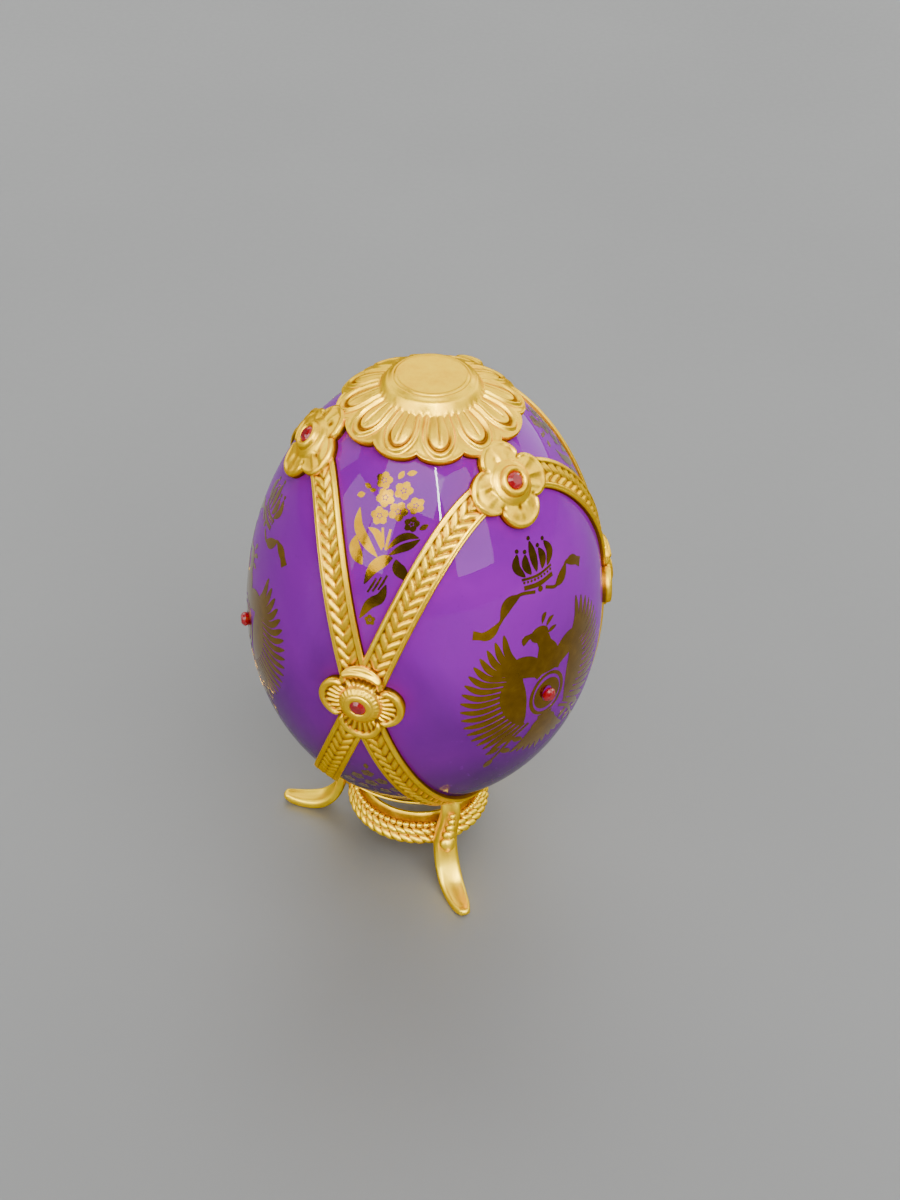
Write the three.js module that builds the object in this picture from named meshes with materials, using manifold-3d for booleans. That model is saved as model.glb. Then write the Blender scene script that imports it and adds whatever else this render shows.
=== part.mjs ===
// A hollow porcelain egg in a gilded lattice, standing loose on a gilded three-legged stand.
// Millimetres, +Z up. The origin is on the ground, on the axis that the egg and the stand share.
import * as THREE from 'three';
import { mergeVertices } from 'three/addons/utils/BufferGeometryUtils.js';
import Module from 'manifold-3d';

const wasm = await Module();
wasm.setup();

// ---------------------------------------------------------------- driving dimensions

const GAP = 0.3; // left between pieces that touch on the real object

const egg = {
  radius: 25, // at the widest plane, the waist
  top: 36.9, // waist to the top of the porcelain
  bottom: 30.2, // waist to where the lower half would close
  waist: 43.8, // height of the waist over the ground
  baseRadius: 12.4, // the flat that the lower half is cut off at
  wall: 2.5,
  ventRadius: 1.6,
};

const lattice = {
  sectors: 3,
  frontAzimuth: -106.9, // degrees, of the first lower rosette
  lowerHeight: 3.3, // lower rosettes over the waist
  upperHeight: 29.65, // upper rosettes over the waist
  medallionHeight: 0.8, // medallion stones over the waist
  bandWidth: 4,
  bandLift: 0.9, // outer face of a band over the glaze
  upperSteepness: 2.25, // how steeply the upper bands leave a lower rosette
  lowerSteepness: 2.3,
};

const rosette = {
  petals: 4,
  petalCentre: 2.9, // of each round petal, from the stone
  petalRadius: 3.0,
  edgeLift: 1.1,
  bossRadius: 2.7,
  bezelRadius: 1.95,
  bezelLift: 2.0,
  bossRise: 0.2, // edge of the boss over the petals
  seatRadius: 1.45,
  seatTaper: 0.05,
  seatLift: 1.15,
};

const stone = { radius: 1.15, tableRadius: 0.7, tableLift: 2.2, girdleLift: 1.9, footLift: 1.5 };
const medallionStone = { radius: 1.0, tableRadius: 0.6, tableLift: 1.3, girdleLift: 0.8, footLift: GAP };

const cap = {
  lobes: 12,
  lobeAzimuth: -82, // degrees, of one lobe
  discRadius: 5.5,
  discHeight: 38.4, // flat top over the waist
  collarRadius: 6.5,
  collarRise: 0.25, // foot of the collar over the petals
  crownRadius: 8.6, // where the petals start to thin towards the edge
  hollowRadii: [8, 4.5, 2], // loops of the underside, which follows the glaze
  tipRadius: 11.85,
  notchRadius: 10.95,
  lift: 1.0,
  edgeLift: 0.85,
};

const rim = { innerRadius: 9.5, thickness: 0.7, lipWidth: 0.7, lipRise: 0.8 };

const stand = {
  legAzimuth: -68.3, // degrees, of the first leg
  ringTop: 10.4,
  ringTopRadius: 8.9,
  ringShoulder: 9.3,
  ringBulge: 9.6, // height of the ring's widest line
  ringBulgeWidth: 0.35,
  ringBottom: 5.6,
  ringBore: 8.2,
  ringChamfer: { width: 0.2, height: 0.3 },
  beadWire: { radius: 9.75, height: 8.75, wire: 0.42 },
  upperRope: { radius: 9.9, height: 7.55, wire: 0.62 },
  lowerRope: { radius: 10.15, height: 6.25, wire: 0.7 },
};

// Centre line of a leg, from the prong under the egg down to the toe: radius, height, width, thickness.
const legLine = [
  [12.9, 17.6, 2.6, 1.3],
  [13.5, 15.4, 2.9, 1.5],
  [13.2, 13.4, 3.1, 1.5],
  [12.4, 10.6, 3.3, 1.5],
  [12.0, 8.0, 3.5, 1.5],
  [12.2, 5.8, 3.6, 1.5],
  [13.3, 3.3, 3.7, 1.5],
  [15.2, 1.4, 3.6, 1.5],
  [17.6, 0.6, 3.3, 1.4],
  [19.8, 0.7, 2.9, 1.3],
  [21.4, 1.2, 1.9, 0.9],
];

// A leg's outline across its centre line, as shares of its width and thickness.
const legSection = [[-0.4, -0.5], [0.4, -0.5], [0.5, -0.1], [0.35, 0.4], [0, 0.5], [-0.35, 0.4], [-0.5, -0.1]];

// ---------------------------------------------------------------- materials

const finishes = {
  glaze: { color: 0x4a127f, roughness: 0.12, metalness: 0 },
  gilt: { color: 0xe2b84a, roughness: 0.38, metalness: 1 },
  standGilt: { color: 0xe6c25c, roughness: 0.32, metalness: 1 },
  redGlass: { color: 0xa0061e, roughness: 0.05, metalness: 0 },
};

const assembly = new THREE.Group();

function addPiece(name, finish, geometry) {
  const mesh = new THREE.Mesh(geometry, new THREE.MeshStandardMaterial(finishes[finish]));
  mesh.name = name;
  assembly.add(mesh);
}

// ---------------------------------------------------------------- solids

const radians = THREE.MathUtils.degToRad;

// Signed volume of an indexed triangle mesh: negative when its faces point in.
function signedVolume(points, triangles) {
  let volume = 0;
  for (const [a, b, c] of triangles) {
    volume += points[a].dot(points[b].clone().cross(points[c])) / 6;
  }
  return volume;
}

function geometryOf(points, triangles) {
  const geometry = new THREE.BufferGeometry();
  geometry.setAttribute('position', new THREE.Float32BufferAttribute(points.flatMap((p) => p.toArray()), 3));
  geometry.setIndex(triangles.flat());
  return geometry;
}

// Closed solid through a list of closed loops with equal point counts, its two ends closed by fans.
function loft(loops) {
  const count = loops[0].length;
  const points = loops.flat();
  const triangles = [];
  for (let row = 0; row + 1 < loops.length; row += 1) {
    for (let i = 0; i < count; i += 1) {
      const a = row * count + i;
      const b = row * count + ((i + 1) % count);
      triangles.push([a, b, b + count], [a, b + count, a + count]);
    }
  }
  for (const row of [0, loops.length - 1]) {
    const middle = new THREE.Vector3();
    loops[row].forEach((point) => middle.addScaledVector(point, 1 / count));
    const hub = points.push(middle) - 1;
    for (let i = 0; i < count; i += 1) {
      const a = row * count + i;
      const b = row * count + ((i + 1) % count);
      triangles.push(row === 0 ? [hub, b, a] : [hub, a, b]);
    }
  }
  if (signedVolume(points, triangles) < 0) {
    triangles.forEach((triangle) => triangle.reverse());
  }
  return geometryOf(points, triangles);
}

// Solid of revolution about the vertical axis, from a profile of [radius, height] pairs.
function turned(profile, segments) {
  const outline = profile.map(([r, z]) => new THREE.Vector2(r, z));
  const geometry = new THREE.LatheGeometry(outline, segments);
  geometry.rotateX(Math.PI / 2);
  geometry.deleteAttribute('normal');
  geometry.deleteAttribute('uv');
  const merged = mergeVertices(geometry, 1e-4);
  const corner = (i) => new THREE.Vector3().fromBufferAttribute(merged.attributes.position, i);
  const points = Array.from({ length: merged.attributes.position.count }, (_, i) => corner(i));
  const triangles = [];
  for (let i = 0; i < merged.index.count; i += 3) {
    const [a, b, c] = [0, 1, 2].map((k) => merged.index.getX(i + k));
    if (a !== b && b !== c && c !== a) triangles.push([a, b, c]);
  }
  if (signedVolume(points, triangles) < 0) {
    triangles.forEach((triangle) => triangle.reverse());
  }
  return geometryOf(points, triangles);
}

function solid(geometry) {
  const bare = geometry.clone();
  bare.deleteAttribute('normal');
  bare.deleteAttribute('uv');
  const merged = mergeVertices(bare, 1e-4);
  return new wasm.Manifold(new wasm.Mesh({
    numProp: 3,
    vertProperties: Float32Array.from(merged.attributes.position.array),
    triVerts: Uint32Array.from(merged.index.array),
  }));
}

// The largest body of a boolean's result, so that a loose sliver never stays behind.
function largestGeometry(manifold) {
  const bodies = manifold.decompose().sort((a, b) => b.volume() - a.volume());
  const mesh = bodies[0].getMesh();
  const geometry = new THREE.BufferGeometry();
  geometry.setAttribute('position', new THREE.BufferAttribute(mesh.vertProperties, 3));
  geometry.setIndex(new THREE.BufferAttribute(mesh.triVerts, 1));
  return geometry;
}

// ---------------------------------------------------------------- places on the egg

// Both halves of the egg are half ellipsoids that meet at the waist. A place on it is an azimuth and
// an eccentric angle, called latitude here; lift is the distance out from the glaze.
function eggNormal(azimuth, latitude) {
  const height = latitude > 0 ? egg.top : egg.bottom;
  const across = Math.cos(latitude) / egg.radius;
  const up = Math.sin(latitude) / height;
  return new THREE.Vector3(across * Math.cos(azimuth), across * Math.sin(azimuth), up).normalize();
}

function eggPoint(azimuth, latitude, lift = 0) {
  const height = latitude > 0 ? egg.top : egg.bottom;
  const radius = egg.radius * Math.cos(latitude);
  const point = new THREE.Vector3(
    radius * Math.cos(azimuth),
    radius * Math.sin(azimuth),
    egg.waist + height * Math.sin(latitude),
  );
  return point.addScaledVector(eggNormal(azimuth, latitude), lift);
}

const latitudeOfHeight = (z) => Math.asin(z / (z > 0 ? egg.top : egg.bottom));
const latitudeOfRadius = (radius) => Math.acos(radius / egg.radius);
const radiusAtHeight = (z) => egg.radius * Math.cos(latitudeOfHeight(z));

// The place on the egg that lies between its centre and a nearby point.
function placeUnder(point) {
  const z = point.z - egg.waist;
  const across = Math.hypot(point.x, point.y) / egg.radius;
  const latitude = Math.atan2(z / (z > 0 ? egg.top : egg.bottom), across);
  return { azimuth: Math.atan2(point.y, point.x), latitude };
}

function liftedPoint(point, lift) {
  const place = placeUnder(point);
  return eggPoint(place.azimuth, place.latitude, lift);
}

// A closed loop round a place on the egg; reach gives its radius for each angle.
function loopRound(place, reach, lift, count) {
  const centre = eggPoint(place.azimuth, place.latitude);
  const east = new THREE.Vector3(-Math.sin(place.azimuth), Math.cos(place.azimuth), 0);
  const north = eggNormal(place.azimuth, place.latitude).cross(east);
  return Array.from({ length: count }, (_, i) => {
    const angle = (i / count) * 2 * Math.PI;
    const r = reach(angle);
    const point = centre.clone()
      .addScaledVector(east, r * Math.cos(angle))
      .addScaledVector(north, r * Math.sin(angle));
    return liftedPoint(point, lift);
  });
}

const sectorAngle = (2 * Math.PI) / lattice.sectors;
const lowerLatitude = latitudeOfHeight(lattice.lowerHeight);
const upperLatitude = latitudeOfHeight(lattice.upperHeight);
const baseLatitude = -latitudeOfRadius(egg.baseRadius);
const lowerAzimuth = (sector) => radians(lattice.frontAzimuth) + sector * sectorAngle;
const upperAzimuth = (sector) => lowerAzimuth(sector) + sectorAngle / 2;
const baseHeight = egg.waist + egg.bottom * Math.sin(baseLatitude);

// ---------------------------------------------------------------- porcelain

function porcelainProfile(inset, steps) {
  const outline = [];
  for (let i = 0; i <= steps; i += 1) {
    const latitude = Math.PI / 2 + (baseLatitude - Math.PI / 2) * (i / steps);
    const height = latitude > 0 ? egg.top - inset : egg.bottom - inset;
    const radius = (egg.radius - inset) * Math.cos(latitude);
    outline.push([i === 0 ? 0 : radius, egg.waist + height * Math.sin(latitude)]);
  }
  outline[steps][1] = baseHeight + inset;
  outline.push([egg.ventRadius, baseHeight + inset]);
  return outline;
}

function eggShell() {
  const outside = porcelainProfile(0, 20);
  const inside = porcelainProfile(egg.wall, 10).reverse();
  return turned([...outside, ...inside], 44);
}

// ---------------------------------------------------------------- lattice

// Outline of a rosette: round petals whose circles meet in notches, grown by a margin.
function petalReach(margin) {
  const pitch = (2 * Math.PI) / rosette.petals;
  return (angle) => {
    const off = angle - Math.round(angle / pitch) * pitch;
    const side = rosette.petalCentre * Math.sin(off);
    return rosette.petalCentre * Math.cos(off) + Math.sqrt(rosette.petalRadius ** 2 - side ** 2) + margin;
  };
}

const rosettePoints = 24;
const ringReach = (radius) => () => radius;

function rosetteSolid(place) {
  const loop = (reach, lift) => loopRound(place, reach, lift, rosettePoints);
  return loft([
    loop(ringReach(rosette.seatRadius - rosette.seatTaper), rosette.seatLift),
    loop(ringReach(rosette.seatRadius), rosette.bezelLift),
    loop(ringReach(rosette.bezelRadius), rosette.bezelLift),
    loop(ringReach(rosette.bossRadius), rosette.edgeLift + rosette.bossRise),
    loop(petalReach(0), rosette.edgeLift),
    loop(petalReach(0), GAP),
    loop(ringReach(rosette.bossRadius), GAP),
  ]);
}

// The space a rosette needs in its neighbours, its clearance included: from under the glaze to over the bezel.
function rosetteCutter(place) {
  const lifts = [-1, 1, 3];
  return solid(loft(lifts.map((lift) => loopRound(place, petalReach(GAP), lift, rosettePoints))));
}

function gemSolid(place, gem) {
  const facets = 8;
  const loop = (radius, lift) => loopRound(place, ringReach(radius), lift, facets);
  return loft([
    loop(gem.tableRadius, gem.tableLift),
    loop(gem.radius, gem.girdleLift),
    loop(gem.tableRadius, gem.footLift),
  ]);
}

// Centre line of a band: it leaves a lower rosette at turn 0 and meets its neighbour at turn 1.
function bandPlace(sector, side, end, turn) {
  const upper = end === 'upper';
  const reach = upper ? upperLatitude - lowerLatitude : lowerLatitude - baseLatitude;
  const first = upper ? lattice.upperSteepness : lattice.lowerSteepness;
  const last = Math.tan(reach) / Math.sin(sectorAngle / 2);
  const angle = (turn * sectorAngle) / 2;
  const rise = Math.atan((first + (last - first) * turn) * Math.sin(angle));
  return {
    azimuth: lowerAzimuth(sector) + side * angle,
    latitude: lowerLatitude + (upper ? rise : -rise),
  };
}

function bandStrip(sector, side, end) {
  const steps = 14;
  const probe = 0.1; // of a step, to either side, for the direction of the band
  const firstTurn = 0.002;
  const loops = [];
  for (let i = 0; i <= steps; i += 1) {
    const [before, here, after] = [i - probe, i, i + probe].map((k) => {
      const place = bandPlace(sector, side, end, Math.max(firstTurn, k / steps));
      return { ...place, point: eggPoint(place.azimuth, place.latitude) };
    });
    const along = after.point.clone().sub(before.point).normalize();
    const across = eggNormal(here.azimuth, here.latitude).cross(along);
    const left = here.point.clone().addScaledVector(across, lattice.bandWidth / 2);
    const right = here.point.clone().addScaledVector(across, -lattice.bandWidth / 2);
    loops.push([
      liftedPoint(left, GAP),
      liftedPoint(right, GAP),
      liftedPoint(right, lattice.bandLift),
      liftedPoint(left, lattice.bandLift),
    ]);
  }
  return loft(loops);
}

// The half sector that a band may fill, between two meridians that each keep half the gap clear.
function halfSector(sector, side) {
  const half = sectorAngle / 4;
  const apex = GAP / 2 / Math.sin(half);
  const far = 2 * egg.radius + lattice.bandWidth;
  const wedge = new THREE.Shape([
    new THREE.Vector2(apex, 0),
    new THREE.Vector2(apex + far * Math.cos(half), -far * Math.sin(half)),
    new THREE.Vector2(apex + far * Math.cos(half), far * Math.sin(half)),
  ]);
  const geometry = new THREE.ExtrudeGeometry(wedge, { depth: 2 * egg.waist, bevelEnabled: false });
  geometry.rotateZ(lowerAzimuth(sector) + side * half);
  return solid(geometry);
}

function bandSolid(sector, side, end) {
  let band = solid(bandStrip(sector, side, end)).intersect(halfSector(sector, side));
  band = band.subtract(rosetteCutter({ azimuth: lowerAzimuth(sector), latitude: lowerLatitude }));
  if (end === 'upper') {
    const azimuth = lowerAzimuth(sector) + (side * sectorAngle) / 2;
    band = band.subtract(rosetteCutter({ azimuth, latitude: upperLatitude }));
  } else {
    band = band.subtract(solid(rimCutter()));
  }
  return largestGeometry(band);
}

// ---------------------------------------------------------------- top cap and base rim

// A ring of points over the crown of the egg, at a distance from the axis that may change with azimuth.
function crownLoop(reach, lift, count) {
  return Array.from({ length: count }, (_, i) => {
    const azimuth = (i / count) * 2 * Math.PI;
    return eggPoint(azimuth, latitudeOfRadius(reach(azimuth)), lift);
  });
}

function scallop(azimuth) {
  const off = Math.cos((cap.lobes * (azimuth - radians(cap.lobeAzimuth))) / 2);
  return cap.notchRadius + (cap.tipRadius - cap.notchRadius) * Math.sqrt(Math.abs(off));
}

function topCap() {
  const count = cap.lobes * 6;
  const loop = (reach, lift) => crownLoop(reach, lift, count);
  const disc = loop(ringReach(cap.discRadius), 0);
  disc.forEach((point) => { point.z = egg.waist + cap.discHeight; });
  const body = loft([
    disc,
    loop(ringReach(cap.collarRadius), cap.lift + cap.collarRise),
    loop(ringReach(cap.crownRadius), cap.lift),
    loop(scallop, cap.edgeLift),
    loop(scallop, GAP),
    ...cap.hollowRadii.map((radius) => loop(ringReach(radius), GAP)),
  ]);
  let metal = solid(body);
  for (let sector = 0; sector < lattice.sectors; sector += 1) {
    metal = metal.subtract(rosetteCutter({ azimuth: upperAzimuth(sector), latitude: upperLatitude }));
  }
  return largestGeometry(metal);
}

// Heights and radii of the gilded rim round the egg's flat base.
const lipSlack = 1.4 * GAP; // measured level, so that the sloping glaze is still a gap away
const rimFoot = baseHeight - GAP - rim.thickness;
const lipTop = baseHeight + rim.lipRise;
const lipInside = radiusAtHeight(lipTop - egg.waist) + lipSlack;

function baseRim() {
  return turned([
    [rim.innerRadius, rimFoot],
    [egg.baseRadius + GAP, rimFoot],
    [egg.baseRadius + GAP + rim.lipWidth, baseHeight - GAP],
    [lipInside + rim.lipWidth, lipTop],
    [lipInside, lipTop],
    [egg.baseRadius + lipSlack, baseHeight - GAP],
    [rim.innerRadius, baseHeight - GAP],
    [rim.innerRadius, rimFoot],
  ], 44);
}

// Everything below the top of the rim's lip, so that the bands stop just above it.
function rimCutter() {
  const top = lipTop + GAP;
  return turned([[0, 0], [egg.radius, 0], [egg.radius, top], [0, top]], 24);
}

// ---------------------------------------------------------------- stand

function standRing() {
  const { ringTop, ringTopRadius, ringBottom, ringBore, ringChamfer } = stand;
  return turned([
    [ringBore, ringBottom],
    [ringTopRadius, ringBottom],
    [ringTopRadius, stand.ringShoulder],
    [ringTopRadius + stand.ringBulgeWidth, stand.ringBulge],
    [ringTopRadius, ringTop],
    [ringBore + ringChamfer.width, ringTop],
    [ringBore, ringTop - ringChamfer.height],
    [ringBore, ringBottom],
  ], 48);
}

function wireHoop({ radius, height, wire }) {
  const sides = 6;
  const section = Array.from({ length: sides + 1 }, (_, i) => {
    const angle = ((i % sides) / sides) * 2 * Math.PI;
    return [radius + wire * Math.cos(angle), height + wire * Math.sin(angle)];
  });
  return turned(section, 40);
}

// The egg's seat: a prong ends where the rim and the glaze above it begin.
function seatCutter() {
  return turned([
    [0, rimFoot - GAP],
    [egg.baseRadius + 2 * GAP, rimFoot - GAP],
    [egg.baseRadius + 2 * GAP + rim.lipWidth, baseHeight - GAP],
    [lipInside + GAP + rim.lipWidth, lipTop],
    [egg.radius, egg.waist],
    [0, egg.waist],
  ], 44);
}

function legSolid(azimuth) {
  const curve = new THREE.CatmullRomCurve3(legLine.map(([r, z]) => new THREE.Vector3(r, 0, z)));
  const sizes = new THREE.CatmullRomCurve3(legLine.map(([, , w, t]) => new THREE.Vector3(w, t, 0)));
  const steps = 18;
  const loops = [];
  for (let i = 0; i <= steps; i += 1) {
    const centre = curve.getPoint(i / steps);
    const along = curve.getTangent(i / steps);
    const outward = new THREE.Vector3(-along.z, 0, along.x);
    const { x: width, y: thickness } = sizes.getPoint(i / steps);
    loops.push(legSection.map(([side, out]) => centre.clone()
      .addScaledVector(outward, out * thickness)
      .add(new THREE.Vector3(0, side * width, 0))));
  }
  const groundSize = 60;
  const groundDepth = 10;
  const ground = new THREE.BoxGeometry(groundSize, groundSize, groundDepth).translate(0, 0, -groundDepth / 2);
  const leg = solid(loft(loops)).subtract(solid(ground)).subtract(solid(seatCutter()));
  const geometry = largestGeometry(leg);
  geometry.rotateZ(azimuth);
  return geometry;
}

// ---------------------------------------------------------------- assembly

addPiece('egg_shell', 'glaze', eggShell());
addPiece('top_cap', 'gilt', topCap());
addPiece('base_rim', 'gilt', baseRim());

for (let sector = 0; sector < lattice.sectors; sector += 1) {
  const number = sector + 1;
  const lower = { azimuth: lowerAzimuth(sector), latitude: lowerLatitude };
  const upper = { azimuth: upperAzimuth(sector), latitude: upperLatitude };
  const medallion = { azimuth: upperAzimuth(sector), latitude: latitudeOfHeight(lattice.medallionHeight) };
  addPiece(`lower_rosette_${number}`, 'gilt', rosetteSolid(lower));
  addPiece(`upper_rosette_${number}`, 'gilt', rosetteSolid(upper));
  addPiece(`lower_stone_${number}`, 'redGlass', gemSolid(lower, stone));
  addPiece(`upper_stone_${number}`, 'redGlass', gemSolid(upper, stone));
  addPiece(`medallion_stone_${number}`, 'redGlass', gemSolid(medallion, medallionStone));
  for (const end of ['upper', 'lower']) {
    addPiece(`${end}_band_${number}_left`, 'gilt', bandSolid(sector, -1, end));
    addPiece(`${end}_band_${number}_right`, 'gilt', bandSolid(sector, 1, end));
  }
  addPiece(`leg_${number}`, 'standGilt', legSolid(radians(stand.legAzimuth) + sector * sectorAngle));
}

addPiece('stand_ring', 'standGilt', standRing());
addPiece('bead_wire', 'standGilt', wireHoop(stand.beadWire));
addPiece('upper_rope', 'standGilt', wireHoop(stand.upperRope));
addPiece('lower_rope', 'standGilt', wireHoop(stand.lowerRope));

export default assembly;
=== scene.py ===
"""Studio scene of the decorated porcelain egg on its gilded stand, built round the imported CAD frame.

Shapes are worked out in millimetres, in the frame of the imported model, and become metres when a
mesh is made. Every piece is named after what it is and rides on the body "egg" or "stand".
"""

import math
from math import cos, radians, sin

import bpy
import numpy as np
from mathutils import Matrix, Vector


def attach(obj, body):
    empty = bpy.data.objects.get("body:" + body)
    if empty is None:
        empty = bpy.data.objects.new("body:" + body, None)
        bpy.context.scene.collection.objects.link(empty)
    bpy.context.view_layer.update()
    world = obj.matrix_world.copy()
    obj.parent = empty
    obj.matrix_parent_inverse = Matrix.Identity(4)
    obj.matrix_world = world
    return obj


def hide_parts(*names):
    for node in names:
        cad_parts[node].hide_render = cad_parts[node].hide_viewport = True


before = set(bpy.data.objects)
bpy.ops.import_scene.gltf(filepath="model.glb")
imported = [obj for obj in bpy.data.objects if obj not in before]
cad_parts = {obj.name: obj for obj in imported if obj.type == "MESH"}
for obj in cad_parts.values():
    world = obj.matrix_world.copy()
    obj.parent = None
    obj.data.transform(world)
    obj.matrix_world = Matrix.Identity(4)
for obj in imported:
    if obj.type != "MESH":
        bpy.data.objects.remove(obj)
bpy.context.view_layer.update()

MM = 0.001
TAU = 2 * math.pi

# ---- sizes, in mm, from the CAD model

EGG_RADIUS = 25.0
EGG_TOP = 36.9          # waist to the top of the porcelain
EGG_BOTTOM = 30.2       # waist to where the lower half would close
WAIST = 43.8            # height of the widest plane
BASE_RADIUS = 12.4      # the flat foot of the egg
WALL = 2.5
VENT_RADIUS = 1.6

SECTORS = 3
SECTOR = TAU / SECTORS
FRONT_AZIMUTH = radians(-106.9)
LOWER_HEIGHT, UPPER_HEIGHT, MEDALLION_HEIGHT = 3.3, 29.65, 0.8
BAND_HALF, BAND_RELIEF = 2.0, 0.72
UPPER_STEEPNESS, LOWER_STEEPNESS = 2.25, 2.3

PETAL_CENTRE, PETAL_RADIUS, BOSS_RADIUS = 2.9, 3.0, 2.7
CAP_LOBES, CAP_LOBE_AZIMUTH = 12, radians(-82)
CAP_TIP, CAP_NOTCH = 11.85, 10.95
DISC_HEIGHT = 38.4      # top of the cap's disc over the waist
RIM_INNER, RIM_THICKNESS, RIM_LIP_RISE = 9.5, 0.7, 0.8
PAINTED_SHADE_LOW, PAINTED_SHADE_HIGH = 24.0, 54.0   # heights between which the painted shade toward the foot fades out
EDGE_PAINTED_SHADE = 0.95      # painted shade: how dark the cast pieces are where they meet the glaze

LEG_AZIMUTH = radians(-68.3)
# Centre line of a leg from the prong under the egg to the toe: radius, height, width, thickness.
LEG_LINE = np.array([
    (12.9, 17.3, 2.6, 1.3), (13.5, 15.4, 2.9, 1.5), (13.2, 13.4, 3.1, 1.5), (12.4, 10.6, 3.3, 1.5),
    (12.0, 8.0, 3.5, 1.5), (12.2, 5.8, 3.6, 1.5), (13.3, 3.3, 3.7, 1.5), (15.2, 1.4, 3.6, 1.5),
    (17.6, 0.72, 3.2, 1.4), (19.8, 0.75, 2.5, 1.3), (21.45, 1.25, 1.35, 0.95),
])


# ---- small numeric helpers

def smooth(low, high, x):
    """Smooth step from 0 at low to 1 at high."""
    t = np.clip((np.asarray(x, float) - low) / (high - low), 0, 1)
    return t * t * (3 - 2 * t)


def bump(x, centre, width):
    """Rounded bump of height 1 round a centre."""
    return np.exp(-((x - centre) / width) ** 2)


def spline(points, count):
    """Evenly numbered points on a Catmull-Rom curve through the given points."""
    p = np.asarray(points, float)
    p = np.vstack([2 * p[0] - p[1], p, 2 * p[-1] - p[-2]])
    t = np.linspace(0, len(p) - 3, count)
    k = np.minimum(t.astype(int), len(p) - 4)
    f = (t - k)[:, None]
    a, b, c, d = p[k], p[k + 1], p[k + 2], p[k + 3]
    square, cube = 2 * a - 5 * b + 4 * c - d, 3 * b - a - 3 * c + d
    return 0.5 * (2 * b + (c - a) * f + square * f ** 2 + cube * f ** 3)


def around(count):
    """Equally spaced angles once round."""
    return np.linspace(0, TAU, count, endpoint=False)


def round_axis(radius, azimuth, z):
    """Points at the given radii, azimuths and heights."""
    return np.stack(np.broadcast_arrays(radius * np.cos(azimuth), radius * np.sin(azimuth), z), -1)


def unit_rows(vectors):
    return vectors / np.linalg.norm(vectors, axis=1)[:, None]


def running_length(points):
    """Length along a line of points, up to each of them."""
    return np.concatenate([[0], np.cumsum(np.linalg.norm(np.diff(points, axis=0), axis=1))])


# ---- places on the egg

def egg_normal(azimuth, latitude):
    """Unit vector that stands on the glaze."""
    height = np.where(latitude > 0, EGG_TOP, EGG_BOTTOM)
    across, up = np.cos(latitude) / EGG_RADIUS, np.sin(latitude) / height
    size = np.hypot(across, up)
    return round_axis(across, azimuth, up) / size[..., None]


def egg_point(azimuth, latitude, lift=0.0):
    """Point over the glaze at an azimuth and an eccentric angle, called latitude here."""
    azimuth, latitude, lift = np.broadcast_arrays(azimuth, latitude, lift)
    height = np.where(latitude > 0, EGG_TOP, EGG_BOTTOM)
    point = round_axis(EGG_RADIUS * np.cos(latitude), azimuth, WAIST + height * np.sin(latitude))
    return point + egg_normal(azimuth, latitude) * lift[..., None]


def latitude_of_height(z):
    return np.arcsin(z / np.where(np.asarray(z) > 0, EGG_TOP, EGG_BOTTOM))


def place_under(point):
    """Azimuth and latitude of the place between the egg's centre and a nearby point."""
    z = point[..., 2] - WAIST
    across = np.hypot(point[..., 0], point[..., 1]) / EGG_RADIUS
    latitude = np.arctan2(z / np.where(z > 0, EGG_TOP, EGG_BOTTOM), across)
    return np.arctan2(point[..., 1], point[..., 0]), latitude


def tangent_frame(azimuth, latitude):
    centre = egg_point(azimuth, latitude)
    east = np.array([-sin(azimuth), cos(azimuth), 0.0])
    north = np.cross(egg_normal(np.float64(azimuth), np.float64(latitude)), east)
    return centre, east, north


LOWER_LATITUDE = float(latitude_of_height(LOWER_HEIGHT))
UPPER_LATITUDE = float(latitude_of_height(UPPER_HEIGHT))
MEDALLION_LATITUDE = float(latitude_of_height(MEDALLION_HEIGHT))
BASE_LATITUDE = -math.acos(BASE_RADIUS / EGG_RADIUS)
BASE_HEIGHT = WAIST + EGG_BOTTOM * sin(BASE_LATITUDE)
LIP_TOP = BASE_HEIGHT + RIM_LIP_RISE

LOWER_AZIMUTHS = [FRONT_AZIMUTH + sector * SECTOR for sector in range(SECTORS)]
UPPER_AZIMUTHS = [azimuth + SECTOR / 2 for azimuth in LOWER_AZIMUTHS]

# Length along a meridian from below the prints to over them, for prints laid along it.
MERIDIAN_LATITUDES = np.linspace(-1.2, 1.5, 3000)
MERIDIAN_LENGTHS = running_length(egg_point(0.0, MERIDIAN_LATITUDES))


# ---- mesh making

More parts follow.
